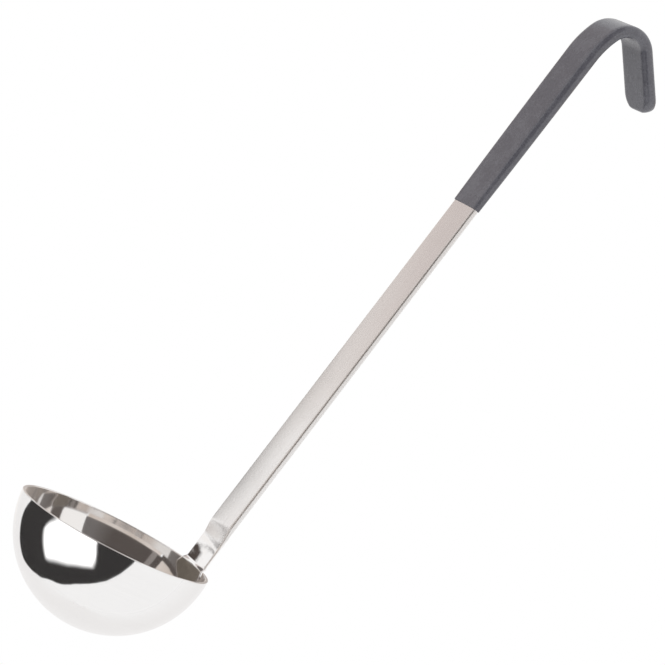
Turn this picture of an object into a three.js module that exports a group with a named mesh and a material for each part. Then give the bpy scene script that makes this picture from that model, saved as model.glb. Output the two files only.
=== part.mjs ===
// A steel serving ladle: a drawn bowl, a flat bar handle with a hooked end, and a dipped vinyl grip.
// Millimetres, +Z up along the bowl's axis, the handle on +X. The origin is the seat inside the hook.
import * as THREE from 'three';

// Bowl: a ball's lower half, cut a little below the middle
const bowlInnerRadius = 38.4;
const bowlDepth = 37.6;
const bowlWall = 1.2;

// Handle: one flat bar, straight from the rim to the hook
const barWidth = 16;
const barThickness = 2.7;
const barEdgeRadius = 0.6;
const handleLean = 11.6;
const bareLength = 175.6;
const gripLength = 75;
const rimBendRadius = 9;

// Foot: the bar's end, coined thin, spread into a pad and lapped inside the bowl
const padThickness = 1;
const footThickness = 1.35;
const footEdgeRadius = 0.4;
const footDepth = 9.1;
const footSpread = 0.2;
const earSpread = 2.6;
const earAboveRim = 2.5;
const earBelowRim = 2.6;
const tongueShape = 1.4;
const flatHeight = 4;
const neckHeight = 11;
const neckLength = 9;

// Hook: the bar's other end, led gently into a tight bend, with its corners rounded off
const hookLeadRadius = 35.4;
const hookLeadTurn = 20;
const hookInnerRadius = 9;
const hookTurn = 110.9;
const limbLength = 24.6;
const barEndRadius = 5;

// Grip: a coat that runs thicker from its mouth towards the hook
const coatAtMouth = 0.35;
const coatAtHook = 1.2;
const coatBuildLength = 41;
const coatEndRadius = 1.4;

// Spot welds between pad and bowl
const weldRadius = 2;
const weldThickness = 0.12;
const upperWeldDepth = 4.2;
const upperWeldSpacing = 9;
const lowerWeldDepth = 6.8;

// Clearances
const weldClearance = 0.09;
const coatClearance = 0.05;

// Finishes
const polishedSteel = { color: 0xd9d7d4, roughness: 0.08, metalness: 1 };
const brushedSteel = { color: 0xcfcac7, roughness: 0.3, metalness: 1 };
const fusedSteel = { color: 0x9b9894, roughness: 0.4, metalness: 1 };
const greyVinyl = { color: 0x67676c, roughness: 0.6, metalness: 0 };

// Facets. A corner is rounded by at most cornerShare of the section's smaller size. The tongue's tip is
// cut blunt at tongueTipAngle of its quarter turn, and stations nearer than shortestStep count as one.
const cornerShare = 0.45;
const tongueTipAngle = 80;
const shortestStep = 0.05;
const bowlSegments = 64;
const wallSteps = 17;
const lipSteps = 4;
const faceStrips = 5;
const cornerSteps = 3;
const tongueSteps = 8;
const roundSteps = 3;
const neckSteps = 6;
const leadSteps = 3;
const hookSteps = 13;
const coatSteps = 6;
const weldSegments = 20;
const weldRings = 2;

const radians = THREE.MathUtils.degToRad;
const quarterTurn = Math.PI / 2;

// Sizes that follow from the ones above
const rimDrop = bowlInnerRadius - bowlDepth;
const lapGap = weldThickness + 2 * weldClearance;
const padRadius = bowlInnerRadius - lapGap;
const rimAngle = Math.asin(rimDrop / padRadius);
const lean = radians(handleLean);
const barHalfWidth = barWidth / 2;

// Distances along the handle's back face, counted from the bowl's rim
const tongueLength = footDepth - earBelowRim;
const neckTop = neckHeight + neckLength;
const rimBendLength = rimBendRadius * (lean - rimAngle);
const hookStart = bareLength + gripLength;
const leadLength = hookLeadRadius * radians(hookLeadTurn);
const bendStart = hookStart + leadLength;
const bendLength = hookInnerRadius * radians(hookTurn);
const limbStart = bendStart + bendLength;
const barEnd = limbStart + limbLength;

// Numbers from first to last in equal steps, both ends included
function steps(first, last, count) {
  return Array.from({ length: count + 1 }, (_, i) => first + ((last - first) * i) / count);
}

// The point and heading after a run that turns evenly. A heading is an angle from +Z towards +X.
function walk(from, length, turn) {
  const middle = from.heading + turn / 2;
  const chord = turn === 0 ? length : (length * Math.sin(turn / 2)) / (turn / 2);
  return {
    x: from.x + chord * Math.sin(middle),
    z: from.z + chord * Math.cos(middle),
    heading: from.heading + turn,
  };
}

// The handle's back face in the XZ plane, around the bowl ball's centre: up the bowl's wall,
// outwards at the rim, straight along the shaft, over the hook and down its limb
const tipAngle = rimAngle + footDepth / padRadius;
const footTip = {
  x: padRadius * Math.cos(tipAngle),
  z: -padRadius * Math.sin(tipAngle),
  heading: tipAngle,
};
const runs = [
  { length: footDepth, turn: -footDepth / padRadius },
  { length: rimBendLength, turn: lean - rimAngle },
  { length: hookStart - rimBendLength, turn: 0 },
  { length: leadLength, turn: radians(hookLeadTurn) },
  { length: bendLength, turn: radians(hookTurn) },
];

function spineAt(distance) {
  let at = footTip;
  let left = distance + footDepth;
  for (const run of runs) {
    if (left <= run.length) return walk(at, left, (run.turn * left) / run.length);
    at = walk(at, run.length, run.turn);
    left -= run.length;
  }
  return walk(at, left, 0);
}

// Half the bar's width: the tongue below its two ears, the coined foot, the plain bar and its rounded end
function barHalfWidthAt(distance) {
  const roundStart = barEnd - barEndRadius;
  if (distance > roundStart) {
    return barHalfWidth - barEndRadius + across(barEndRadius, distance - roundStart);
  }
  const ears = 1 - THREE.MathUtils.smoothstep(distance, -earBelowRim, earAboveRim);
  const spread = footSpread * (1 - neckShare(distance)) + earSpread * ears;
  return (barHalfWidth + spread) * tongueShare(distance);
}

// The share of the width that is left on the tongue, which closes in below the ears to a rounded tip
function tongueShare(distance) {
  const lowered = Math.max(0, -earBelowRim - distance) / tongueLength;
  return (1 - lowered ** tongueShape) ** (1 / tongueShape);
}

// How far a circle's edge lies from a diameter, at a distance along that diameter from its centre
function across(radius, along) {
  return Math.sqrt(Math.max(0, radius * radius - along * along));
}

// The neck, where the coined foot steps up to the full bar: 0 below it and 1 above it
function neckShare(distance) {
  return THREE.MathUtils.smoothstep(distance, neckHeight, neckTop);
}

// The bar's thickness: even on the pad, tapering up along the foot, and stepping up at the neck
function barThicknessAt(distance) {
  const climbed = THREE.MathUtils.clamp(distance / neckHeight, 0, 1);
  const foot = THREE.MathUtils.lerp(padThickness, footThickness, climbed);
  return THREE.MathUtils.lerp(foot, barThickness, neckShare(distance));
}

function barEdgeRadiusAt(distance) {
  return THREE.MathUtils.lerp(footEdgeRadius, barEdgeRadius, neckShare(distance));
}

// Curvature across the bar: the bowl's own at the pad, fading to flat just above the rim
function crossCurvatureAt(distance) {
  return (1 - THREE.MathUtils.smoothstep(distance, 0, flatHeight)) / padRadius;
}

// The coat's thickness on the bar
function coatAt(distance) {
  const built = 1 - Math.exp((bareLength - distance) / coatBuildLength);
  return THREE.MathUtils.lerp(coatAtMouth, coatAtHook, built);
}

// One ring of points round the bar at a distance along it: a rounded rectangle between a back and a
// front depth, both counted from the bar's back face, bent across to the given curvature
function ring(distance, halfWidth, back, front, edgeRadius, curvature = 0) {
  const at = spineAt(distance);
  const radius = Math.min(edgeRadius, cornerShare * (front - back), cornerShare * 2 * halfWidth);
  const sides = [
    { u: halfWidth - radius, v: back + radius },
    { u: halfWidth - radius, v: front - radius },
    { u: radius - halfWidth, v: front - radius },
    { u: radius - halfWidth, v: back + radius },
  ];
  const outline = [];
  sides.forEach((centre, corner) => {
    for (const angle of steps(corner * quarterTurn, (corner + 1) * quarterTurn, cornerSteps)) {
      outline.push({ u: centre.u + radius * Math.sin(angle), v: centre.v - radius * Math.cos(angle) });
    }
    if (corner % 2 === 1) {
      const depth = corner === 1 ? front : back;
      steps(centre.u, -centre.u, faceStrips).slice(1, -1).forEach((u) => outline.push({ u, v: depth }));
    }
  });
  return outline.map(({ u, v }) => {
    const bend = curvature * u;
    const sideways = curvature === 0 ? u : Math.sin(bend) / curvature;
    const sink = curvature === 0 ? 0 : (1 - Math.cos(bend)) / curvature;
    const outwards = -sink - v * Math.cos(bend);
    return new THREE.Vector3(
      at.x + outwards * Math.cos(at.heading),
      sideways - v * Math.sin(bend),
      at.z - outwards * Math.sin(at.heading),
    );
  });
}

function middleOf(points) {
  return points.reduce((sum, point) => sum.add(point), new THREE.Vector3()).divideScalar(points.length);
}

// Stations in order along the handle, without near repeats
function ordered(stations) {
  const sorted = stations.toSorted((a, b) => a - b);
  return sorted.filter((distance, i) => i === 0 || distance - sorted[i - 1] > shortestStep);
}

// A closed skin through rings of equally many points, with a fan over each end
function loft(rings) {
  const count = rings[0].length;
  const points = rings.flat();
  const faces = [];
  for (let row = 0; row + 1 < rings.length; row += 1) {
    for (let i = 0; i < count; i += 1) {
      const next = (i + 1) % count;
      const [a, b] = [row * count + i, row * count + next];
      faces.push(a, b, b + count, a, b + count, a + count);
    }
  }
  const last = (rings.length - 1) * count;
  points.push(middleOf(rings[0]), middleOf(rings.at(-1)));
  for (let i = 0; i < count; i += 1) {
    const next = (i + 1) % count;
    faces.push(points.length - 2, next, i, points.length - 1, last + i, last + next);
  }
  const geometry = new THREE.BufferGeometry().setFromPoints(points);
  geometry.setIndex(faces);
  geometry.computeVertexNormals();
  return geometry;
}

// Points on an arc in a lathe's profile plane
function arcPoints(centreX, centreY, radius, from, to, count) {
  return steps(from, to, count).map(
    (angle) => new THREE.Vector2(centreX + radius * Math.cos(angle), centreY + radius * Math.sin(angle)),
  );
}

// A lathe turned so that its axis stands along +Z
function revolve(profile, segments) {
  return new THREE.LatheGeometry(profile, segments).rotateX(quarterTurn);
}

// The bowl: inner wall up from the bottom, a full round lip, and the outer wall down again
function bowlGeometry() {
  const outerRadius = bowlInnerRadius + bowlWall;
  const middleRadius = bowlInnerRadius + bowlWall / 2;
  const lipRadius = bowlWall / 2;
  const lipAngle = -Math.asin((rimDrop + lipRadius) / middleRadius);
  const lipX = middleRadius * Math.cos(lipAngle);
  const lipY = middleRadius * Math.sin(lipAngle);
  const lip = arcPoints(lipX, lipY, lipRadius, lipAngle, lipAngle + Math.PI, lipSteps);
  return revolve([
    ...arcPoints(0, 0, outerRadius, -quarterTurn, lipAngle, wallSteps),
    ...lip.slice(1, -1),
    ...arcPoints(0, 0, bowlInnerRadius, lipAngle, -quarterTurn, wallSteps),
  ], bowlSegments);
}

// Places along the bar that its rounded end needs, stretched by what lies over it
function endRound(cover) {
  return steps(0, quarterTurn, roundSteps).map(
    (angle) => barEnd - barEndRadius + (barEndRadius + cover) * Math.sin(angle),
  );
}

const hookStations = [
  ...steps(hookStart, bendStart, leadSteps).slice(0, -1),
  ...steps(bendStart, limbStart, hookSteps),
];

// The handle: tongue, spread, rim bend, neck, shaft, hook and limb in one skin
function handleGeometry() {
  const tongueAngles = steps(radians(tongueTipAngle), 0, tongueSteps);
  const stations = ordered([
    ...tongueAngles.map((angle) => -earBelowRim - tongueLength * Math.sin(angle)),
    ...steps(-earBelowRim, earAboveRim, neckSteps),
    ...steps(0, rimBendLength, roundSteps),
    ...steps(0, flatHeight, roundSteps),
    ...steps(neckHeight, neckTop, neckSteps),
    bareLength,
    ...hookStations,
    ...endRound(0),
  ]);
  return loft(stations.map((distance) => ring(
    distance,
    barHalfWidthAt(distance),
    0,
    barThicknessAt(distance),
    barEdgeRadiusAt(distance),
    crossCurvatureAt(distance),
  )));
}

// The grip: from the bottom of its bore out to the mouth, and back over the outside to its rounded end
function gripGeometry() {
  const boreRing = (distance, end = 0) => ring(
    distance + end,
    barHalfWidthAt(distance) + coatClearance,
    -coatClearance,
    barThickness + coatClearance,
    barEdgeRadius + coatClearance,
  );
  const boreEnd = endRound(0);
  const bore = [
    boreRing(bareLength),
    ...hookStations.map((distance) => boreRing(distance)),
    ...boreEnd.slice(0, -1).map((distance) => boreRing(distance)),
    boreRing(boreEnd.at(-1), coatClearance),
  ];

  const endCoat = coatAt(barEnd);
  const coatEnd = barEnd + endCoat;
  const skinRing = (distance) => {
    const coat = coatAt(distance);
    const past = Math.max(0, distance - (barEnd - barEndRadius));
    const roundRadius = barEndRadius + endCoat;
    const inset = coatEndRadius - across(coatEndRadius, Math.max(0, distance - (coatEnd - coatEndRadius)));
    return ring(
      distance,
      barHalfWidth + coat - roundRadius + across(roundRadius, past),
      inset - coat,
      barThickness + coat - inset,
      barEdgeRadius + coat,
    );
  };
  const skin = ordered([
    ...steps(bareLength, hookStart, coatSteps).slice(0, -1),
    ...hookStations,
    ...endRound(endCoat),
    ...steps(0, quarterTurn, roundSteps).map((angle) => coatEnd - coatEndRadius * (1 - Math.sin(angle))),
  ]);
  return loft([...bore.reverse(), ...skin.map(skinRing)]);
}

// A spot weld: a thin round lens that follows the bowl's wall on one side and the pad's back on the other
function weldGeometry() {
  const outer = bowlInnerRadius - weldClearance;
  const inner = padRadius + weldClearance;
  const reach = weldRadius / bowlInnerRadius;
  return revolve([
    ...arcPoints(0, 0, inner, quarterTurn, quarterTurn - reach, weldRings),
    ...arcPoints(0, 0, outer, quarterTurn - reach, quarterTurn, weldRings),
  ], weldSegments);
}

function part(name, geometry, finish) {
  const mesh = new THREE.Mesh(geometry, new THREE.MeshStandardMaterial(finish));
  mesh.name = name;
  return mesh;
}

// A weld turned from the pole to its place on the pad, by its depth below the rim and its offset in Y
function weld(name, depth, offset) {
  const mesh = part(name, weldGeometry(), fusedSteel);
  const below = rimAngle + depth / padRadius;
  const sideways = offset / padRadius;
  const direction = new THREE.Vector3(
    Math.cos(below) * Math.cos(sideways),
    Math.sin(sideways),
    -Math.sin(below) * Math.cos(sideways),
  );
  mesh.quaternion.setFromUnitVectors(new THREE.Vector3(0, 0, 1), direction);
  return mesh;
}

// The seat: the highest point of the coat inside the hook, where the bar runs level
const seatDistance = bendStart + hookInnerRadius * (quarterTurn - lean - radians(hookLeadTurn));
const seatPoint = spineAt(seatDistance);

const ladle = new THREE.Group();
ladle.position.set(-seatPoint.x, 0, coatAt(seatDistance) - seatPoint.z);
ladle.add(
  part('bowl', bowlGeometry(), polishedSteel),
  part('handle', handleGeometry(), brushedSteel),
  part('grip', gripGeometry(), greyVinyl),
  weld('spot_weld_left', upperWeldDepth, upperWeldSpacing / 2),
  weld('spot_weld_right', upperWeldDepth, -upperWeldSpacing / 2),
  weld('spot_weld_lower', lowerWeldDepth, 0),
);

export default ladle;
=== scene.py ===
# %% [markdown]
# # A steel ladle with a dipped grip
#
# The real ladle is a drawn bowl welded to a flat bar. The bar's lower end is pressed thin and lapped inside
# the bowl, and its upper end is bent over into a hook and dipped in grey vinyl. The frame below holds the
# same pieces as plain faceted solids. Polished steel shows every facet, so this lesson builds each visible
# piece again at the same size with a fine smooth mesh, and then gives it a finish.

# %% Load the frame
import math

import bpy
import numpy as np
from mathutils import Matrix, Vector


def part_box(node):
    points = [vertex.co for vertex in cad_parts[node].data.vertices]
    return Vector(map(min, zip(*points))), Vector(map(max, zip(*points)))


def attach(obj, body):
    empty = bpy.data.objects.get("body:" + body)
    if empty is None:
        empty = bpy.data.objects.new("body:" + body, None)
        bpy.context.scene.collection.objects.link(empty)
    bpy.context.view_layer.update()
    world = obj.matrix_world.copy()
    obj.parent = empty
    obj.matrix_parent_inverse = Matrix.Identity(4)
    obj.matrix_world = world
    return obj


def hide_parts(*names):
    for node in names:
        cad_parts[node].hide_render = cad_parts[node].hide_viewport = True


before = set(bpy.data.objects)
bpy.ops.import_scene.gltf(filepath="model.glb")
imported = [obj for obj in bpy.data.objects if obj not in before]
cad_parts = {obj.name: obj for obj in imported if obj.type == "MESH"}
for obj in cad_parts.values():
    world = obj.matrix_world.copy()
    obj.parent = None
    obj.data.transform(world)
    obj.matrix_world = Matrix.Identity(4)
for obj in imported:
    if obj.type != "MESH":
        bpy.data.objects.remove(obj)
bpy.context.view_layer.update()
MM = 0.001
print("nodes:", sorted(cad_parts))

# %% [markdown]
# ## Where the ladle sits
#
# The origin of the frame is the seat inside the hook, so the bowl hangs far below it and to one side. It is
# easier to think about this object from the middle of the ball that the bowl is cut from. Every shape here is
# worked out in millimetres around that middle, and moved into the frame when its mesh is made.

# %% The bowl's middle
BALL_OUTER = 39.6
bowl_low, bowl_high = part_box("bowl")
ball_middle = np.array([
    (bowl_low.x + bowl_high.x) / 2 / MM,
    0.0,
    bowl_low.z / MM + BALL_OUTER,
])
print("middle of the bowl's ball, mm:", ball_middle.round(2))

# %% [markdown]
# ## The camera
#
# The photograph looks almost level at the ladle, about a third of a right angle round from its side, with
# the camera rolled so that the handle climbs to the right. A camera can be aimed with a track-to constraint,
# but the roll is simpler to state as three unit directions: right, up and back towards the camera. They are
# the columns of the camera's own matrix. A long lens about 1.2 m away gives the photograph's mild
# perspective.

# %% Camera
VIEW_TURN = math.radians(31.87)
VIEW_HEIGHT = math.radians(3.267)
VIEW_ROLL = math.radians(27.567)
VIEW_DISTANCE = 1200.0
BALL_RIGHT_OF_AXIS = -82.177
BALL_ABOVE_AXIS = -75.994
PIXELS_PER_MM = 2.6225
PICTURE_PIXELS = 665
SENSOR = 36.0

towards_camera = np.array([
    -math.sin(VIEW_TURN) * math.cos(VIEW_HEIGHT),
    -math.cos(VIEW_TURN) * math.cos(VIEW_HEIGHT),
    math.sin(VIEW_HEIGHT),
])
level_right = np.array([math.cos(VIEW_TURN), -math.sin(VIEW_TURN), 0.0])
level_up = np.cross(towards_camera, level_right)
picture_right = math.cos(VIEW_ROLL) * level_right + math.sin(VIEW_ROLL) * level_up
picture_up = math.cos(VIEW_ROLL) * level_up - math.sin(VIEW_ROLL) * level_right
eye = (
    ball_middle
    - BALL_RIGHT_OF_AXIS * picture_right
    - BALL_ABOVE_AXIS * picture_up
    + VIEW_DISTANCE * towards_camera
) * MM

camera_data = bpy.data.cameras.new("camera")
camera_data.sensor_width = SENSOR
camera_data.lens = SENSOR * PIXELS_PER_MM * VIEW_DISTANCE / PICTURE_PIXELS
camera_data.clip_end = 50
camera = bpy.data.objects.new("camera", camera_data)
axes = Matrix((picture_right, picture_up, towards_camera)).transposed().to_4x4()
camera.matrix_world = Matrix.Translation(Vector(eye)) @ axes
bpy.context.scene.collection.objects.link(camera)
bpy.context.scene.camera = camera
print("camera at", [round(float(x), 4) for x in eye], "lens", round(camera_data.lens, 1))

# %% [markdown]
# ## Turning points and faces into a piece
#
# Each piece is made from plain lists of points and faces. The mesh also gets a flat map, in metres along and
# across the metal, because brushing and polishing lines have a direction that the surface alone doesn't
# give. A weighted normal modifier keeps the flat faces flat right up to their rounded edges, which matters
# on metal. Each piece then rides on the one body and stands in for its solid.


# %% From mesh data to a piece
def make_piece(name, points, faces, flat_map, node, slot):
    mesh = bpy.data.meshes.new(name)
    mesh.from_pydata((np.asarray(points) + ball_middle) * MM, [], faces)
    layer = mesh.uv_layers.new(name="flat_map")
    for polygon in mesh.polygons:
        polygon.use_smooth = True
        for corner, place in zip(polygon.loop_indices, flat_map[polygon.index]):
            layer.data[corner].uv = place
    mesh.validate()
    piece = bpy.data.objects.new(name, mesh)
    bpy.context.scene.collection.objects.link(piece)
    keep_flat = piece.modifiers.new("keep_flats_flat", "WEIGHTED_NORMAL")
    keep_flat.keep_sharp = True
    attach(piece, "root")
    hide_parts(node)
    print(name, len(mesh.vertices), "points", len(mesh.polygons), "faces")
    return piece


# %% [markdown]
# ## The bowl
#
# The bowl is pressed from sheet and polished, so it is a true body of revolution: an outer wall, a lip that
# is ground nearly flat with its two edges broken, and an inner wall. A screw modifier could turn the profile,
# but writing the rings directly lets the wall close in one point at the bottom and puts the map on it too.

# %% Bowl
BALL_INNER = 38.4
RIM_DROP = 0.8
LIP_EDGE = 0.3
WALL_STEPS = 56
LIP_STEPS = 6
TURN_STEPS = 224


def arc(middle, radius, first, last, count):
    angles = np.linspace(first, last, count + 1)
    return np.stack([middle[0] + radius * np.cos(angles), middle[1] + radius * np.sin(angles)], 1)


def bowl_profile():
    """Distance from the axis and height, from the bottom outside, over the lip, to the bottom inside."""
    lip_height = -RIM_DROP - LIP_EDGE
    outer_middle = (BALL_OUTER - LIP_EDGE, lip_height)
    inner_middle = (BALL_INNER + LIP_EDGE, lip_height)
    down = -math.pi / 2
    outer_end = math.asin(lip_height / BALL_OUTER)
    inner_end = math.asin(lip_height / BALL_INNER)
    return np.concatenate([
        arc((0, 0), BALL_OUTER, down, outer_end, WALL_STEPS),
        arc(outer_middle, LIP_EDGE, 0, -down, LIP_STEPS)[1:],
        arc(inner_middle, LIP_EDGE, -down, math.pi, LIP_STEPS),
        arc((0, 0), BALL_INNER, inner_end, down, WALL_STEPS)[1:],
    ])


def turned(profile, count):
    """A closed skin turned about the vertical axis from a profile that starts and ends on the axis."""
    inner = profile[1:-1]
    angles = np.arange(count) * 2 * math.pi / count
    rings = [
        np.stack([r * np.cos(angles), r * np.sin(angles), np.full(count, z)], 1) for r, z in inner
    ]
    ends = [(0, 0, profile[0][1]), (0, 0, profile[-1][1])]
    points = np.concatenate(rings + [np.array(ends)])
    first, last = len(points) - 2, len(points) - 1
    along = np.concatenate([[0], np.cumsum(np.linalg.norm(np.diff(profile, axis=0), axis=1))]) * MM
    around = np.arange(count + 1) * 2 * math.pi * BALL_OUTER * MM / count
    faces, flat_map = [], []
    top = (len(inner) - 1) * count
    for i in range(count):
        j = (i + 1) % count
        faces.append((first, j, i))
        flat_map.append([(along[0], around[i]), (along[1], around[i + 1]), (along[1], around[i])])
        for row in range(len(inner) - 1):
            a, b = row * count + i, row * count + j
            faces.append((a, b, b + count, a + count))
            low, high = along[row + 1], along[row + 2]
            flat_map.append([
                (low, around[i]), (low, around[i + 1]), (high, around[i + 1]), (high, around[i])
            ])
        faces.append((top + i, top + j, last))
        flat_map.append([(along[-2], around[i]), (along[-2], around[i + 1]), (along[-1], around[i])])
    return points, faces, flat_map


bowl = make_piece("polished_bowl", *turned(bowl_profile(), TURN_STEPS), "bowl", "bowl_steel")

# %% [markdown]
# ## The line of the handle
#
# The handle is one bar, so one line describes it: the line of its back face, seen from the side. It climbs
# the bowl's wall, bends out at the rim, runs straight, eases into the hook and turns down into the free limb.
# A curve object could hold this line, but a bar that changes its width and thickness as it goes is easier to
# build section by section. Distances are counted along the back face from the rim, positive upwards.

# %% Line of the handle
PAD_RADIUS = 38.1
FOOT_DEPTH = 9.1
LEAN = math.radians(11.6)
RIM_BEND_RADIUS = 9.0
BARE_LENGTH = 175.6
GRIP_LENGTH = 75.0
LEAD_RADIUS, LEAD_TURN = 35.4, math.radians(20)
HOOK_RADIUS, HOOK_TURN = 9.0, math.radians(110.9)
LIMB_LENGTH = 24.6

rim_angle = math.asin(RIM_DROP / PAD_RADIUS)
rim_bend = RIM_BEND_RADIUS * (LEAN - rim_angle)
hook_start = BARE_LENGTH + GRIP_LENGTH
bend_start = hook_start + LEAD_RADIUS * LEAD_TURN
limb_start = bend_start + HOOK_RADIUS * HOOK_TURN
bar_end = limb_start + LIMB_LENGTH
runs = [
    (FOOT_DEPTH, -FOOT_DEPTH / PAD_RADIUS),
    (rim_bend, LEAN - rim_angle),
    (hook_start - rim_bend, 0.0),
    (LEAD_RADIUS * LEAD_TURN, LEAD_TURN),
    (HOOK_RADIUS * HOOK_TURN, HOOK_TURN),
    (math.inf, 0.0),
]


def line_at(distance):
    """Place (x, z) and heading, an angle from straight up towards +X, at a distance from the rim."""
    heading = rim_angle + FOOT_DEPTH / PAD_RADIUS
    x, z = PAD_RADIUS * math.cos(heading), -PAD_RADIUS * math.sin(heading)
    left = distance + FOOT_DEPTH
    for length, turn in runs:
        part = min(left, length)
        bend = turn * part / length if turn else 0.0
        chord = part * math.sin(bend / 2) / (bend / 2) if bend else part
        x += chord * math.sin(heading + bend / 2)
        z += chord * math.cos(heading + bend / 2)
        heading += bend
        left -= part
        if left <= 0:
            break
    return x, z, heading


print("bar length, mm:", round(bar_end + FOOT_DEPTH, 1))

# %% [markdown]
# ## One section of the bar
#
# A section is a rectangle with rounded edges, and its two broad faces are very slightly crowned, because a
# ground bar is never quite flat. At the foot the whole section is also bent to the bowl's curve, so that the
# pad lies against the wall. Sections with equally many points can be joined into one closed skin.

# %% Sections and skins
EDGE_STEPS = 6
FACE_STRIPS = 14
MOST_OF_DEPTH, MOST_OF_HALF_WIDTH = 0.45, 0.9
NEAR_REPEAT = 0.02


def outline(half_width, back, front, edge, crown=0.0):
    """Points round a section: sideways place and depth from the back face, edges rounded, faces crowned."""
    edge = min(edge, MOST_OF_DEPTH * (front - back), MOST_OF_HALF_WIDTH * half_width)
    middles = [(1, back + edge), (1, front - edge), (-1, front - edge), (-1, back + edge)]
    points = []
    for corner, (side, depth) in enumerate(middles):
        middle = side * (half_width - edge)
        for angle in np.linspace(corner, corner + 1, EDGE_STEPS + 1) * math.pi / 2:
            points.append((middle + edge * math.sin(angle), depth - edge * math.cos(angle)))
        if corner % 2:
            level = front if corner == 1 else back
            strips = np.linspace(middle, -middle, FACE_STRIPS + 1)[1:-1]
            points += [(sideways, level) for sideways in strips]
    points = np.array(points)
    centre = (front + back) / 2
    flatness = 1 - crown / (front - back) * 2 * (points[:, 0] / half_width) ** 2
    points[:, 1] = centre + (points[:, 1] - centre) * flatness
    return points


def section(distance, places, curvature=0.0):
    """A section's outline set on the line, bent to a curve across if there is one."""
    x, z, heading = line_at(distance)
    sideways, depth = places.T
    if curvature:
        bend = curvature * sideways
        outwards = -(1 - np.cos(bend)) / curvature - depth * np.cos(bend)
        sideways = np.sin(bend) / curvature - depth * np.sin(bend)
    else:
        outwards = -depth
    return np.stack([x + outwards * math.cos(heading), sideways, z - outwards * math.sin(heading)], 1)


def skin(sections, along):
    """A closed skin through sections, with a fan over each end, and its flat map across and along."""
    count = len(sections[0])
    points = np.concatenate([*sections, [sections[0].mean(0)], [sections[-1].mean(0)]])
    widest = max(sections, key=lambda s: np.ptp(s[:, 1]))
    edges = np.linalg.norm(np.roll(widest, -1, 0) - widest, axis=1)
    across = np.concatenate([[0], np.cumsum(edges)]) * MM
    along = np.asarray(along) * MM
    last = (len(sections) - 1) * count
    faces, flat_map = [], []
    for i in range(count):
        j = (i + 1) % count
        here, there = across[i], across[i + 1]
        for row in range(len(sections) - 1):
            a, b = row * count + i, row * count + j
            faces.append((a, b, b + count, a + count))
            low, high = along[row], along[row + 1]
            flat_map.append([(here, low), (there, low), (there, high), (here, high)])
        faces.append((len(points) - 2, j, i))
        flat_map.append([(here, along[0]), (there, along[0]), (here, along[0])])
        faces.append((len(points) - 1, last + i, last + j))
        flat_map.append([(here, along[-1]), (here, along[-1]), (there, along[-1])])
    return points, faces, flat_map


def stations(*stretches):
    """Distances from several stretches (first, last, count), sorted, without near repeats."""
    every = np.sort(np.concatenate([np.linspace(a, b, n + 1) for a, b, n in stretches]))
    return every[np.concatenate([[True], np.diff(every) > NEAR_REPEAT])]


def ease(low, high, x):
    share = np.clip((x - low) / (high - low), 0, 1)
    return share * share * (3 - 2 * share)


print("points in a section:", len(outline(half_width=1, back=0, front=1, edge=0.1)))

# %% [markdown]
# ## The handle
#
# The lower end of the real bar is coined: pressed to less than half its thickness, which spreads it sideways
# into a rounded tongue. The die sat a little askew and left a shallow dish in the foot's face. Above the rim
# a neck steps back up to the full bar. A box could be pulled into this form by hand. Here the bar is one skin
# whose width, thickness and cross curve are functions of the distance along it, which keeps its sizes exact.

# %% Handle
BAR_HALF_WIDTH, BAR_THICKNESS, BAR_EDGE = 8.0, 2.7, 0.7
PAD_THICKNESS, FOOT_THICKNESS = 1.0, 1.2
FOOT_SPREAD, EAR_SPREAD, EAR_BOTTOM, EAR_TOP = 0.2, 2.6, -2.6, 2.5
TONGUE_SHAPE = 1.4
FLAT_HEIGHT = 1.6
NECK_BOTTOM, NECK_TOP = 11.0, 20.5
NECK_BOTTOM_SKEW, NECK_TOP_SKEW = 1.0, -1.5
BAR_END_RADIUS = 5.0
BACK_CROWN, FRONT_CROWN = 0.05, 0.2
FOOT_DISH, DISH_FADE, DISH_END = 0.35, 4.5, 10.0
FINE_MESH_END = 26.0
LAST_ANGLE, TONGUE_LAST_ANGLE = math.radians(88), math.radians(84)
tongue_length = FOOT_DEPTH + EAR_BOTTOM


def round_end(distance, end, radius):
    """How far a rounded end pulls each edge in."""
    past = min(max(0.0, distance - (end - radius)), radius)
    return radius - math.sqrt(radius * radius - past * past)


def neck_share(distance, side=0.0):
    """0 on the coined foot, 1 on the full bar. The die sat askew, so one side is steeper than the other."""
    return ease(NECK_BOTTOM + NECK_BOTTOM_SKEW * side, NECK_TOP + NECK_TOP_SKEW * side, distance)


def bar_half_width(distance):
    foot = FOOT_SPREAD * (1 - neck_share(distance))
    ears = EAR_SPREAD * (1 - ease(EAR_BOTTOM, EAR_TOP, distance))
    lowered = min(1.0, max(0.0, EAR_BOTTOM - distance) / tongue_length)
    tongue = (1 - lowered**TONGUE_SHAPE) ** (1 / TONGUE_SHAPE)
    return (BAR_HALF_WIDTH + foot + ears) * tongue - round_end(distance, bar_end, BAR_END_RADIUS)


def bar_section(distance):
    half_width = bar_half_width(distance)
    climbed = min(1.0, max(0.0, distance / NECK_BOTTOM))
    foot = PAD_THICKNESS + (FOOT_THICKNESS - PAD_THICKNESS) * climbed
    places = outline(half_width, 0.0, BAR_THICKNESS, BAR_EDGE, BACK_CROWN)
    side = places[:, 0] / half_width
    neck = neck_share(distance, side)
    dish = FOOT_DISH * ease(0, FLAT_HEIGHT, distance) * (1 - ease(DISH_FADE, DISH_END, distance))
    thickness = foot + (BAR_THICKNESS - foot) * neck - dish * (1 - side**2) - FRONT_CROWN * neck * side**2
    places[:, 1] *= thickness / BAR_THICKNESS
    return section(distance, places, (1 - ease(0, FLAT_HEIGHT, distance)) / PAD_RADIUS)


def ends_of(end, radius, count):
    """Distances that crowd towards a rounded end and stop just short of it."""
    return end - radius + radius * np.sin(np.linspace(0, LAST_ANGLE, count))


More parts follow.
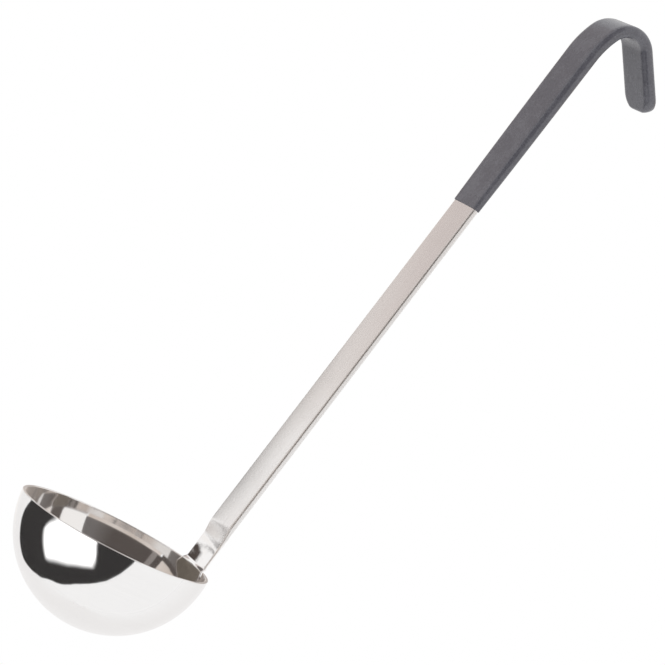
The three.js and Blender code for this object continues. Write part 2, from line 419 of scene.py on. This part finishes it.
tongue_places = EAR_BOTTOM - tongue_length * np.sin(np.linspace(TONGUE_LAST_ANGLE, 0, 28))
bar_places = np.unique(np.concatenate([
    tongue_places[:-1],
    stations(
        (EAR_BOTTOM, EAR_TOP, 30), (0, rim_bend, 10), (0, FINE_MESH_END, 60),
        (FINE_MESH_END, BARE_LENGTH, 10), (hook_start, bend_start, 4), (bend_start, limb_start, 16),
    ),
    ends_of(bar_end, BAR_END_RADIUS, 7),
]).round(4))
bar_sections = [bar_section(d) for d in bar_places]
handle = make_piece("brushed_handle", *skin(bar_sections, bar_places), "handle", "handle_steel")

# %% [markdown]
# ## The grip
#
# The hot bar is dipped hook first in liquid vinyl, which gels on it. The coat is thin at its mouth, which is
# in the bath for the shortest time, and thicker towards the hook. Its edges are rounder than the steel's, and
# its mouth ends in a small rounded edge. A solidify modifier could thicken a copy of the bar, but these edges
# are easier to draw as a skin. It starts deep in the bore, comes out at the mouth, turns over its edge and
# runs back along the outside to the rounded end.

# %% Grip
COAT_MOUTH, COAT_HOOK, COAT_BUILD = 0.35, 1.2, 41.0
COAT_GAP = 0.05
COAT_ROUNDING = 1.4
COAT_END_EDGE = 1.4
MOUTH_EDGE, MOUTH_FIRST_ANGLE = 0.3, 0.2
MOUTH_FINE_LENGTH = 1.0


def coat_at(distance):
    return COAT_HOOK + (COAT_MOUTH - COAT_HOOK) * math.exp((BARE_LENGTH - distance) / COAT_BUILD)


end_coat = coat_at(bar_end)
coat_end = bar_end + end_coat


def bore_section(distance):
    half_width = BAR_HALF_WIDTH + COAT_GAP - round_end(distance, bar_end + COAT_GAP, BAR_END_RADIUS)
    return section(distance, outline(half_width, -COAT_GAP, BAR_THICKNESS + COAT_GAP, BAR_EDGE + COAT_GAP))


def coat_section(distance):
    turn_in = round_end(distance, coat_end, COAT_END_EDGE)
    mouth = MOUTH_EDGE - math.sqrt(MOUTH_EDGE**2 - max(0.0, BARE_LENGTH + MOUTH_EDGE - distance) ** 2)
    coat = coat_at(distance) - mouth
    half_width = BAR_HALF_WIDTH + coat - round_end(distance, coat_end, BAR_END_RADIUS + end_coat)
    edge = BAR_EDGE + COAT_ROUNDING * coat
    return section(distance, outline(half_width, turn_in - coat, BAR_THICKNESS + coat - turn_in, edge))


hook_places = stations((hook_start, bend_start, 10), (bend_start, limb_start, 44))
bore_places = np.concatenate([[BARE_LENGTH], hook_places, ends_of(bar_end + COAT_GAP, BAR_END_RADIUS, 8)])
coat_places = np.unique(np.concatenate([
    BARE_LENGTH + MOUTH_EDGE * (1 - np.cos(np.linspace(MOUTH_FIRST_ANGLE, math.pi / 2, 6))),
    stations((BARE_LENGTH + MOUTH_FINE_LENGTH, hook_start, 24)),
    hook_places,
    ends_of(coat_end, BAR_END_RADIUS + end_coat, 12),
    ends_of(coat_end, COAT_END_EDGE, 8),
]).round(4))
grip_sections = [bore_section(d) for d in bore_places[::-1]] + [coat_section(d) for d in coat_places]
grip_places = np.concatenate([bore_places[::-1], coat_places])
grip = make_piece("dipped_grip", *skin(grip_sections, grip_places), "grip", "grip_vinyl")

# %% [markdown]
# ## Effects that several finishes share
#
# Brushing, polishing and fused metal all leave fine lines, and every surface that is handled has faint
# smudges. Both effects are node groups. The lines come from a noise that is squeezed across the grain and
# stretched along it, read on the flat map. The smudges come from a slow cloudy noise.

# %% Node groups
FINE_SCALE, BROAD_SCALE = 1.0, 0.12
CLOUD_LOW, CLOUD_HIGH = 0.4, 0.75


def new_group(name, inputs, outputs):
    group = bpy.data.node_groups.new(name, "ShaderNodeTree")
    for socket, kind, value in inputs:
        made = group.interface.new_socket(name=socket, in_out="INPUT", socket_type=kind)
        if value is not None:
            made.default_value = value
    for socket in outputs:
        group.interface.new_socket(name=socket, in_out="OUTPUT", socket_type="NodeSocketFloat")
    return group, group.nodes.new("NodeGroupInput"), group.nodes.new("NodeGroupOutput")


def wire(tree, *pairs):
    for source, target in pairs:
        tree.links.new(source, target)


def math_node(tree, operation, *values):
    node = tree.nodes.new("ShaderNodeMath")
    node.operation = operation
    for socket, value in zip(node.inputs, values):
        if isinstance(value, (int, float)):
            socket.default_value = value
        else:
            tree.links.new(value, socket)
    return node.outputs[0]


def make_grain_lines():
    group, given, result = new_group(
        "grain_lines",
        [
            ("Place", "NodeSocketVector", None),
            ("Across", "NodeSocketFloat", 8000.0),
            ("Along", "NodeSocketFloat", 60.0),
        ],
        ["Line", "Band"],
    )
    squeeze = group.nodes.new("ShaderNodeCombineXYZ")
    stretched = group.nodes.new("ShaderNodeVectorMath")
    stretched.operation = "MULTIPLY"
    fine = group.nodes.new("ShaderNodeTexNoise")
    fine.inputs["Scale"].default_value = FINE_SCALE
    fine.inputs["Detail"].default_value = 3.0
    broad = group.nodes.new("ShaderNodeTexNoise")
    broad.inputs["Scale"].default_value = BROAD_SCALE
    broad.inputs["Detail"].default_value = 2.0
    wire(
        group,
        (given.outputs["Across"], squeeze.inputs["X"]),
        (given.outputs["Along"], squeeze.inputs["Y"]),
        (given.outputs["Place"], stretched.inputs[0]),
        (squeeze.outputs[0], stretched.inputs[1]),
        (stretched.outputs[0], fine.inputs["Vector"]),
        (stretched.outputs[0], broad.inputs["Vector"]),
        (fine.outputs["Fac"], result.inputs["Line"]),
        (broad.outputs["Fac"], result.inputs["Band"]),
    )
    return group


def make_smudges():
    group, given, result = new_group(
        "smudges",
        [("Place", "NodeSocketVector", None), ("Size", "NodeSocketFloat", 90.0)],
        ["Smudge"],
    )
    cloud = group.nodes.new("ShaderNodeTexNoise")
    cloud.inputs["Detail"].default_value = 5.0
    cloud.inputs["Roughness"].default_value = 0.6
    spread = group.nodes.new("ShaderNodeMapRange")
    spread.inputs["From Min"].default_value = CLOUD_LOW
    spread.inputs["From Max"].default_value = CLOUD_HIGH
    wire(
        group,
        (given.outputs["Place"], cloud.inputs["Vector"]),
        (given.outputs["Size"], cloud.inputs["Scale"]),
        (cloud.outputs["Fac"], spread.inputs["Value"]),
        (spread.outputs["Result"], result.inputs["Smudge"]),
    )
    return group


grain_lines = make_grain_lines()
smudges = make_smudges()
print("groups:", grain_lines.name, smudges.name)

# %% [markdown]
# ## The steels
#
# The bowl is polished almost to a mirror, with a few faint rings left by the wheel. The bar is brushed along
# its length, and the welds are dull fused metal. The three differ mostly in numbers, so one function makes
# them. Light that has bounced several times inside the bowl loses sharpness and turns a dim warm grey on the
# real steel. A path tracer keeps it too clean, so the steel carries a painted glow: with each further bounce
# its own colour fades out and it emits a dim warm grey instead.

# %% Steel finishes
BLACK = (0.0, 0.0, 0.0)
# Painted glow: how fast deeper bounces fade the steel's colour, and the warm grey it emits instead.
BOUNCE_LOSS = 0.148
BOUNCE_GLOW_GREY = (0.3, 0.265, 0.24)
GRAIN_HEIGHT = 0.00002


def place_group(tree, group, **values):
    node = tree.nodes.new("ShaderNodeGroup")
    node.node_tree = group
    for socket, value in values.items():
        if isinstance(value, (int, float)):
            node.inputs[socket].default_value = value
        else:
            tree.links.new(value, node.inputs[socket])
    return node


def new_finish(name):
    finish = bpy.data.materials.new(name)
    finish.use_nodes = True
    tree = finish.node_tree
    return finish, tree, tree.nodes["Principled BSDF"]


def mixed(tree, share, first, second):
    """A colour between two others, each given as three numbers or as a socket."""
    node = tree.nodes.new("ShaderNodeMix")
    node.data_type = "RGBA"
    for socket, colour in (("A", first), ("B", second)):
        if isinstance(colour, tuple):
            node.inputs[socket].default_value = (*colour, 1)
        else:
            tree.links.new(colour, node.inputs[socket])
    tree.links.new(share, node.inputs["Factor"])
    return node.outputs["Result"]


def ramp(tree, value, low, high, to_low=0.0, to_high=1.0):
    node = tree.nodes.new("ShaderNodeMapRange")
    node.interpolation_type = "SMOOTHSTEP"
    for socket, number in zip(("From Min", "From Max", "To Min", "To Max"), (low, high, to_low, to_high)):
        node.inputs[socket].default_value = number
    tree.links.new(value, node.inputs["Value"])
    return node.outputs["Result"]


def steel(name, bright, dull, roughness, lines, smudge, bump, across, along, metal=1.0):
    """A steel finish and the parts of it that a finish may still change."""
    finish, tree, surface = new_finish(name)
    flat = tree.nodes.new("ShaderNodeUVMap")
    flat.uv_map = "flat_map"
    where = tree.nodes.new("ShaderNodeTexCoord")
    grain = place_group(tree, grain_lines, Place=flat.outputs[0], Across=across, Along=along)
    marks = place_group(tree, smudges, Place=where.outputs["Object"])
    surface.inputs["Metallic"].default_value = metal
    # Painted glow: on deeper glossy bounces the steel's colour fades to black and it emits a dim warm grey.
    path = tree.nodes.new("ShaderNodeLightPath")
    depth = math_node(tree, "POWER", path.outputs["Glossy Depth"], 2.0)
    painted_glow_share = math_node(tree, "MINIMUM", math_node(tree, "MULTIPLY", depth, BOUNCE_LOSS), 1.0)
    surface.inputs["Emission Strength"].default_value = 1.0
    lined = math_node(tree, "MULTIPLY_ADD", grain.outputs["Line"], lines, roughness)
    rough = math_node(tree, "MULTIPLY_ADD", marks.outputs["Smudge"], smudge, lined)
    raised = tree.nodes.new("ShaderNodeBump")
    raised.inputs["Strength"].default_value = bump
    raised.inputs["Distance"].default_value = GRAIN_HEIGHT
    metal_colour = mixed(tree, grain.outputs["Band"], dull, bright)
    wire(
        tree,
        (mixed(tree, painted_glow_share, metal_colour, BLACK), surface.inputs["Base Color"]),
        (mixed(tree, painted_glow_share, BLACK, BOUNCE_GLOW_GREY), surface.inputs["Emission Color"]),
        (rough, surface.inputs["Roughness"]),
        (grain.outputs["Line"], raised.inputs["Height"]),
        (raised.outputs[0], surface.inputs["Normal"]),
    )
    return finish, tree, surface, flat


polished = steel(
    "polished_steel",
    bright=(0.9, 0.89, 0.885),
    dull=(0.86, 0.85, 0.845),
    roughness=0.055,
    lines=0.02,
    smudge=0.02,
    bump=0.02,
    across=5000.0,
    along=12.0,
    metal=0.975,
)[0]
fused = steel(
    "fused_steel",
    bright=(0.62, 0.6, 0.58),
    dull=(0.5, 0.48, 0.46),
    roughness=0.35,
    lines=0.15,
    smudge=0.1,
    bump=0.3,
    across=3000.0,
    along=3000.0,
)[0]
print("steels:", polished.name, fused.name)

# %% [markdown]
# ## The bar's steel
#
# The bar starts as the same steel with a brushed finish. Brushing runs along the bar, so reflections smear
# across it but stay sharper along it: that is an anisotropic reflection whose direction is read from the
# flat map. Coining pressed the foot against a smooth die, so the foot shines more than the shaft. Below the
# rim the pad's face carries a painted reflection: it is coloured brown and made less metallic, so that it
# looks as dark as the bowl's inside around it, while its rounded edges stay bare steel. Both changes follow
# the distance along the bar, which is the flat map's second number. The narrow side was only sheared, so it
# is duller: that follows the flat map's first number.

# %% Brushed bar
FACE_START, FACE_END, SIDE_END, EDGE_FADE = 0.0025, 0.0214, 0.0245, 0.0006
COINED_END, BRUSHED_START = 0.008, 0.017
COINED_ROUGHNESS, BRUSHED_ROUGHNESS, SHEARED_DULLNESS = -0.03, 0.21, 0.12
# Painted reflection on the pad below the rim: its brown, how metallic it stays, and where it ends along the
# bar.
PAD_PAINTED_BROWN, PAD_PAINTED_METAL = (0.28, 0.245, 0.205), 0.45
PAD_PAINT_END, PAD_PAINT_FADED = -0.0004, 0.0006
BRUSHED_ANISOTROPY = 0.7
brushed, bar_tree, bar_surface, bar_flat = steel(
    "brushed_steel",
    bright=(0.93, 0.915, 0.905),
    dull=(0.87, 0.85, 0.84),
    roughness=0.0,
    lines=0.08,
    smudge=0.04,
    bump=0.2,
    across=9000.0,
    along=25.0,
)
bar_parts = bar_tree.nodes.new("ShaderNodeSeparateXYZ")
bar_tree.links.new(bar_flat.outputs[0], bar_parts.inputs[0])
bar_across, bar_along = bar_parts.outputs["X"], bar_parts.outputs["Y"]
coined = ramp(bar_tree, bar_along, COINED_END, BRUSHED_START, COINED_ROUGHNESS, BRUSHED_ROUGHNESS)
sheared = math_node(
    bar_tree,
    "MINIMUM",
    ramp(bar_tree, bar_across, FACE_END - EDGE_FADE, FACE_END),
    ramp(bar_tree, bar_across, SIDE_END, SIDE_END + EDGE_FADE, 1.0, 0.0),
)
duller = math_node(bar_tree, "MULTIPLY_ADD", sheared, SHEARED_DULLNESS, coined)
bar_rough = math_node(bar_tree, "ADD", bar_surface.inputs["Roughness"].links[0].from_socket, duller)
edges = math_node(
    bar_tree,
    "MAXIMUM",
    ramp(bar_tree, bar_across, FACE_START - EDGE_FADE, FACE_START, 1.0, 0.0),
    ramp(bar_tree, bar_across, FACE_END, FACE_END + EDGE_FADE),
)
# Painted reflection: below the rim the pad's face turns brown and less metallic, and its rounded edges stay
# bare steel.
unpainted = math_node(bar_tree, "MAXIMUM", edges, ramp(bar_tree, bar_along, PAD_PAINT_END, PAD_PAINT_FADED))
bare_colour = bar_surface.inputs["Base Color"].links[0].from_socket
grain_way = bar_tree.nodes.new("ShaderNodeTangent")
grain_way.direction_type = "UV_MAP"
grain_way.uv_map = "flat_map"
wire(
    bar_tree,
    (mixed(bar_tree, unpainted, PAD_PAINTED_BROWN, bare_colour), bar_surface.inputs["Base Color"]),
    (
        math_node(bar_tree, "MULTIPLY_ADD", unpainted, 1 - PAD_PAINTED_METAL, PAD_PAINTED_METAL),
        bar_surface.inputs["Metallic"],
    ),
    (bar_rough, bar_surface.inputs["Roughness"]),
    (grain_way.outputs[0], bar_surface.inputs["Tangent"]),
)
bar_surface.inputs["Anisotropic"].default_value = BRUSHED_ANISOTROPY
print("bar:", brushed.name)

# %% [markdown]
# ## The vinyl
#
# Dipped vinyl is smooth but not flat: it has the faint orange peel of a liquid that gelled, and a soft sheen.
# Two noises make the peel, one for slow waves and one for the fine skin. As geometry it would need very many
# faces, so it is a bump. A third noise speckles the colour, and the smudge group turns into slightly paler,
# drier patches where hands have been.

# %% Vinyl finish
VINYL_DARK, VINYL_PALE = (0.072, 0.071, 0.086), (0.118, 0.117, 0.136)
WAVE_SCALE, PEEL_SCALE, SPECKLE_SCALE = 260.0, 1700.0, 1300.0
PEEL_SHARE = 0.25
VINYL_ROUGHNESS, DRY_ROUGHNESS = 0.22, 0.14
VINYL_BUMP, VINYL_BUMP_HEIGHT = 0.25, 0.0002
DRY_SHARE, SPOTS_LOW, SPOTS_HIGH = 0.4, 0.3, 1.1
VINYL_SHEEN = 0.8


def noise(tree, place, scale):
    node = tree.nodes.new("ShaderNodeTexNoise")
    node.inputs["Scale"].default_value = scale
    tree.links.new(place, node.inputs["Vector"])
    return node


vinyl, vinyl_tree, vinyl_surface = new_finish("grey_vinyl")
vinyl_place = vinyl_tree.nodes.new("ShaderNodeTexCoord").outputs["Object"]
vinyl_marks = place_group(vinyl_tree, smudges, Place=vinyl_place, Size=130.0).outputs["Smudge"]
waves = noise(vinyl_tree, vinyl_place, WAVE_SCALE)
peel = noise(vinyl_tree, vinyl_place, PEEL_SCALE)
speckle = noise(vinyl_tree, vinyl_place, SPECKLE_SCALE)
speckle.inputs["Detail"].default_value = 1.0
vinyl_height = math_node(vinyl_tree, "MULTIPLY_ADD", peel.outputs["Fac"], PEEL_SHARE, waves.outputs["Fac"])
vinyl_bump = vinyl_tree.nodes.new("ShaderNodeBump")
vinyl_bump.inputs["Strength"].default_value = VINYL_BUMP
vinyl_bump.inputs["Distance"].default_value = VINYL_BUMP_HEIGHT
vinyl_rough = math_node(vinyl_tree, "MULTIPLY_ADD", vinyl_marks, DRY_ROUGHNESS, VINYL_ROUGHNESS)
vinyl_spots = math_node(vinyl_tree, "MULTIPLY_ADD", vinyl_marks, DRY_SHARE, speckle.outputs["Fac"])
vinyl_paleness = ramp(vinyl_tree, vinyl_spots, SPOTS_LOW, SPOTS_HIGH)
vinyl_colour = mixed(vinyl_tree, vinyl_paleness, VINYL_DARK, VINYL_PALE)
wire(
    vinyl_tree,
    (vinyl_height, vinyl_bump.inputs["Height"]),
    (vinyl_bump.outputs[0], vinyl_surface.inputs["Normal"]),
    (vinyl_rough, vinyl_surface.inputs["Roughness"]),
    (vinyl_colour, vinyl_surface.inputs["Base Color"]),
)
vinyl_surface.inputs["Specular IOR Level"].default_value = VINYL_SHEEN
print("vinyl:", vinyl.name)

# %% [markdown]
# ## Dressing the pieces
#
# Every piece is one material all through, so each mesh needs only one slot. The welds lie hidden between the
# pad and the bowl and keep their solids from the frame, but they are metal too, so they get a finish.

# %% Dress the pieces
welds = [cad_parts[n] for n in ("spot_weld_left", "spot_weld_right", "spot_weld_lower")]
for piece, finish in [(bowl, polished), (handle, brushed), (grip, vinyl), *((w, fused) for w in welds)]:
    piece.data.materials.clear()
    piece.data.materials.append(finish)
    print(piece.name, "wears", finish.name)

# %% [markdown]
# ## Cloth that glows
#
# Polished steel is a picture of the room around it, so the room is most of its look. The photograph's
# reflections seem to show a white room with a dark curtain round the camera, low and to the left, and a large
# soft light in front of it. An environment picture could stand for that room, but cards of glowing cloth are
# easier to place and to name. They all share one material, and each mesh says at every point how bright the
# cloth is and how much it covers. The cards show only in reflections, so they never hide the ladle. Only the
# soft light also shines on the vinyl.

# %% Glowing cloth
cloth = bpy.data.materials.new("glowing_cloth")
cloth.use_nodes = True
weave = cloth.node_tree
weave.nodes.remove(weave.nodes["Principled BSDF"])
glow, clear = weave.nodes.new("ShaderNodeEmission"), weave.nodes.new("ShaderNodeBsdfTransparent")
dyed, covered = weave.nodes.new("ShaderNodeAttribute"), weave.nodes.new("ShaderNodeAttribute")
dyed.attribute_name, covered.attribute_name = "dye", "cover"
blend = weave.nodes.new("ShaderNodeMixShader")
wire(
    weave,
    (dyed.outputs["Color"], glow.inputs["Color"]),
    (covered.outputs["Fac"], blend.inputs[0]),
    (clear.outputs[0], blend.inputs[1]),
    (glow.outputs[0], blend.inputs[2]),
    (blend.outputs[0], weave.nodes["Material Output"].inputs["Surface"]),
)


def hang(name, points, dye, cover, lights):
    """A stage object from a grid of points with a colour and a cover for each."""
    columns, row = points.shape[:2]
    faces = [
        (a, a + 1, a + row + 1, a + row)
        for column in range(columns - 1)
        for a in range(column * row, column * row + row - 1)
    ]
    mesh = bpy.data.meshes.new(name)
    mesh.from_pydata(points.reshape(-1, 3), [], faces)
    thick = mesh.attributes.new("cover", "FLOAT", "POINT")
    thick.data.foreach_set("value", cover.ravel())
    tinted = mesh.attributes.new("dye", "FLOAT_COLOR", "POINT")
    tinted.data.foreach_set("color", np.concatenate([dye, np.ones(dye.shape[:2] + (1,))], -1).ravel())
    mesh.materials.append(cloth)
    made = bpy.data.objects.new(name, mesh)
    bpy.context.scene.collection.objects.link(made)
    made.visible_camera = False
    made.visible_shadow = False
    made.visible_diffuse = lights
    print(name, len(faces), "faces")


print("cloth:", cloth.name)

# %% [markdown]
# ## Cards and flags
#
# Each card is a patch of a big sphere round the bowl, given by where its edges lie: degrees to the left of
# the camera, and degrees above the level. A flag is a small upright card close to the ladle, given in
# millimetres. Both are grids of points, so one function hangs them all.

# %% Cards round the ladle
CARD_DISTANCE = 1.6
CARD_COLUMNS, CARD_ROWS = 120, 36
UP = np.array([0.0, 0.0, 1.0])
level_front = np.array([towards_camera[0], towards_camera[1], 0.0])
level_front /= np.linalg.norm(level_front)


def crowded(first, last, count):
    """Numbers from first to last that crowd towards both ends."""
    return first + (last - first) * (1 - np.cos(np.linspace(0, math.pi, count + 1))) / 2


def card(name, columns, tints, strength=1.0, soft=1.5, distance=CARD_DISTANCE, lights=False):
    """A card from columns of (degrees left, lowest and highest degrees above level), with soft edges."""
    order = np.argsort([column[0] for column in columns])
    known = np.array(columns, float)[order]
    dyes = np.broadcast_to(np.array(tints, float), (len(columns), 3))[order]
    left = crowded(known[0, 0], known[-1, 0], CARD_COLUMNS)[:, None]
    low = np.interp(left, known[:, 0], known[:, 1])
    high = np.interp(left, known[:, 0], known[:, 2])
    share = crowded(0, 1, CARD_ROWS)
    height = low + (high - low) * share
    inwards = np.minimum(
        np.minimum(left - left[0], left[-1] - left), (high - low) * np.minimum(share, 1 - share)
    )
    turn, rise = np.radians(left)[..., None], np.radians(height)[..., None]
    level = np.cos(turn) * level_front - np.sin(turn) * level_right
    points = ball_middle * MM + distance * (np.cos(rise) * level + np.sin(rise) * UP)
    dye = np.stack([np.interp(left, known[:, 0], dyes[:, i]) for i in range(3)], -1)
    dye = np.broadcast_to(dye, points.shape) * strength
    hang(name, points, dye, ease(0, soft, inwards), lights)


def flag(name, right, columns, tint):
    """A small upright card, in millimetres right of the bowl's middle, with columns of (front, low, high)."""
    known = np.array(columns, float)
    front, up = known[:, :1, None], known[:, 1:, None]
    place = right * level_right + front * level_front + up * UP
    hang(name, (ball_middle + place) * MM, np.broadcast_to(tint, place.shape), np.ones(up.shape[:2]), False)


print("cards hang", CARD_DISTANCE, "m from the bowl's middle")

# %% [markdown]
# ## Hanging the cards
#
# Thirteen plain cloths are enough. Dark ones stand for the curtain round the camera, cream and tan ones for
# the walls behind it, and pale ones for the gaps between. The flags are small cards hung close to the foot:
# near things show in the foot and the shaft, and hardly in the bowl.

# %% Hang the cards
BLACK_CLOTH = (0.016, 0.014, 0.0135)
BROWN_CLOTH = (0.085, 0.07, 0.063)
DUSK_CLOTH = (0.16, 0.146, 0.14)
SLATE_CLOTH = (0.26, 0.235, 0.22)
TAUPE_CLOTH = (0.43, 0.39, 0.37)
BLUSH_CLOTH = (0.61, 0.545, 0.525)
TAN_CLOTH = (0.62, 0.54, 0.48)
SAND_CLOTH = (0.73, 0.66, 0.61)
CREAM_CLOTH = (0.84, 0.75, 0.68)
FAIR_CLOTH = (0.86, 0.825, 0.805)
MILK_CLOTH = (0.93, 0.92, 0.915)
PALE_CLOTH = (0.97, 0.95, 0.93)
WHITE_CLOTH = (1.0, 1.0, 1.0)
BEHIND, IN_FRONT, NEAREST = CARD_DISTANCE + 0.05, CARD_DISTANCE - 0.05, CARD_DISTANCE - 0.1

card(
    "low_curtain",
    [
        (138, -36, -34), (135.5, -40, -28), (132, -44, -23), (129.5, -47, -19), (126, -50, -15.5),
        (122, -53, -13), (119, -56, -11), (115, -58, -9.5), (112, -59, -8.5), (84, -68, -8.5),
        (72, -70, -8.5), (62, -70.5, -8.5), (58, -70.5, 0), (40, -69.5, 0), (15, -64.5, 0),
        (0, -59.5, 0), (-10, -54, 0), (-20, -46, 0), (-28, -32, 0), (-36, -8, 0),
    ],
    BLACK_CLOTH,
    soft=0.8,
)
card(
    "high_curtain",
    [(65, 5.5, 100), (-5, 5.5, 100), (-30, 5.5, 100), (-43, 5.5, 100)],
    [BROWN_CLOTH, BROWN_CLOTH, DUSK_CLOTH, DUSK_CLOTH],
    soft=0.6,
)
card(
    "pale_gap",
    [(60, -2, 9), (40, -2, 9), (16, -2, 9), (-8, -2, 9), (-42, -2, 9)],
    [SAND_CLOTH, SAND_CLOTH, TAN_CLOTH, SAND_CLOTH, TAN_CLOTH],
    distance=BEHIND,
)
card("grey_strip", [(56.5, 5, 60), (47, 5, 60)], SLATE_CLOTH, distance=IN_FRONT)
card("right_gap", [(-42, 1, 5), (-62, 1, 5), (-82, 1, 5)], [TAUPE_CLOTH, TAUPE_CLOTH, DUSK_CLOTH])
card(
    "cream_wall",
    [
        (62, -2, 24), (87, -2, 24), (98, -2, 24), (100, 3, 24), (122, 3, 24), (135, 3, 24), (160, 3, 24),
        (190, 3, 24), (225, 3, 24), (260, 3, 24), (281, 4, 24), (318, 4, 24),
    ],
    [
        SAND_CLOTH, TAN_CLOTH, SAND_CLOTH, PALE_CLOTH, PALE_CLOTH, CREAM_CLOTH, SAND_CLOTH,
        TAUPE_CLOTH, TAN_CLOTH, SAND_CLOTH, PALE_CLOTH, PALE_CLOTH,
    ],
    distance=BEHIND,
)
card(
    "milk_back",
    [(100, -88, -2), (140, -88, -2), (220, -88, -2), (260, -88, -2)],
    [WHITE_CLOTH, MILK_CLOTH, MILK_CLOTH, WHITE_CLOTH],
    soft=4.0,
    distance=BEHIND,
)
card("fair_wall", [(90, 5, 60), (140, 5, 60)], FAIR_CLOTH, soft=8.0)
card("blush_wall", [(88, 13, 60), (142, 13, 60)], BLUSH_CLOTH, soft=3.0, distance=IN_FRONT)
card(
    "soft_light",
    [
        (84, -46, -32), (82, -50, -23), (79, -51, -18), (74, -52, -13), (66, -52, -8), (58, -52, -5),
        (50, -52, 1), (40, -51.5, 2), (17, -46.5, 2), (7, -43.5, -20), (1, -41, -37),
    ],
    WHITE_CLOTH,
    strength=1.6,
    soft=8.0,
    distance=NEAREST,
    lights=True,
)
flag("left_flag", -100.0, [(-45, -6, 14), (-14, -6, 14), (-4, -6, 12.5), (33, -6, 12.5)], BROWN_CLOTH)
flag("foot_flag", -100.0, [(-82, 3, 15.5), (-55, 3, 15.5)], BROWN_CLOTH)
flag("neck_flag", -55.0, [(-95, -14, 3), (-71, -14, 3)], TAUPE_CLOTH)
flag("shaft_flag", -40.0, [(-150, 20, 170), (-95, 20, 105), (-70, 20, 45)], DUSK_CLOTH)
flag("bright_flag", -140.0, [(-120, 28, 80), (-40, 28, 140)], WHITE_CLOTH)
flag("white_flag", -60.0, [(-100, -30, 2), (-38, -30, 2)], PALE_CLOTH)

# %% [markdown]
# ## Floor and world
#
# The floor is plain and pale, well below the hanging ladle, so the picture shows only a white ground. The
# world is white where the camera and the reflections see it. As a light it is dimmer from below and brighter
# from above, so that the vinyl's colour comes out about as it is written and its forms still show.

# %% Floor and world
FLOOR_DROP = 1.65
FLOOR_HALF = 4.0
FLOOR_GREY, FLOOR_ROUGHNESS = 0.95, 0.9
LIGHT_FROM, LIGHT_TO = -0.3, 1.0
LIGHT_LOW, LIGHT_HIGH = 0.5, 1.45
floor_mesh = bpy.data.meshes.new("floor")
floor_level = bowl_low.z - FLOOR_DROP
corners = [(-1, -1), (1, -1), (1, 1), (-1, 1)]
floor_points = [(FLOOR_HALF * x, FLOOR_HALF * y, floor_level) for x, y in corners]
floor_mesh.from_pydata(floor_points, [], [(0, 1, 2, 3)])
floor = bpy.data.objects.new("floor", floor_mesh)
bpy.context.scene.collection.objects.link(floor)


def in_reflections(tree):
    """1 for rays that come off a polished surface, 0 for the rest."""
    path = tree.nodes.new("ShaderNodeLightPath")
    return math_node(tree, "MAXIMUM", path.outputs["Is Glossy Ray"], path.outputs["Is Transmission Ray"])


pale, pale_tree, pale_surface = new_finish("pale_floor")
pale_surface.inputs["Base Color"].default_value = (FLOOR_GREY, FLOOR_GREY, FLOOR_GREY, 1)
pale_surface.inputs["Roughness"].default_value = FLOOR_ROUGHNESS
pale_glow = pale_tree.nodes.new("ShaderNodeEmission")
pale_mix = pale_tree.nodes.new("ShaderNodeMixShader")
wire(
    pale_tree,
    (in_reflections(pale_tree), pale_mix.inputs[0]),
    (pale_surface.outputs[0], pale_mix.inputs[1]),
    (pale_glow.outputs[0], pale_mix.inputs[2]),
    (pale_mix.outputs[0], pale_tree.nodes["Material Output"].inputs["Surface"]),
)
floor_mesh.materials.append(pale)

world = bpy.data.worlds.new("white_room")
world.use_nodes = True
bpy.context.scene.world = world
room = world.node_tree
seen = room.nodes["Background"]
seen.inputs["Color"].default_value = (1, 1, 1, 1)
lit = room.nodes.new("ShaderNodeBackground")
lit.inputs["Color"].default_value = (1, 1, 1, 1)
where_to = room.nodes.new("ShaderNodeTexCoord")
parts = room.nodes.new("ShaderNodeSeparateXYZ")
climb = room.nodes.new("ShaderNodeMapRange")
climb.inputs["From Min"].default_value = LIGHT_FROM
climb.inputs["From Max"].default_value = LIGHT_TO
climb.inputs["To Min"].default_value = LIGHT_LOW
climb.inputs["To Max"].default_value = LIGHT_HIGH
room_path = room.nodes.new("ShaderNodeLightPath")
shown = math_node(room, "MAXIMUM", in_reflections(room), room_path.outputs["Is Camera Ray"])
choose = room.nodes.new("ShaderNodeMixShader")
wire(
    room,
    (where_to.outputs["Generated"], parts.inputs[0]),
    (parts.outputs["Z"], climb.inputs["Value"]),
    (climb.outputs["Result"], lit.inputs["Strength"]),
    (shown, choose.inputs[0]),
    (lit.outputs[0], choose.inputs[1]),
    (seen.outputs[0], choose.inputs[2]),
    (choose.outputs[0], room.nodes["World Output"].inputs["Surface"]),
)
bpy.context.scene.view_settings.view_transform = "Standard"
print("floor at", round(floor_level, 3))
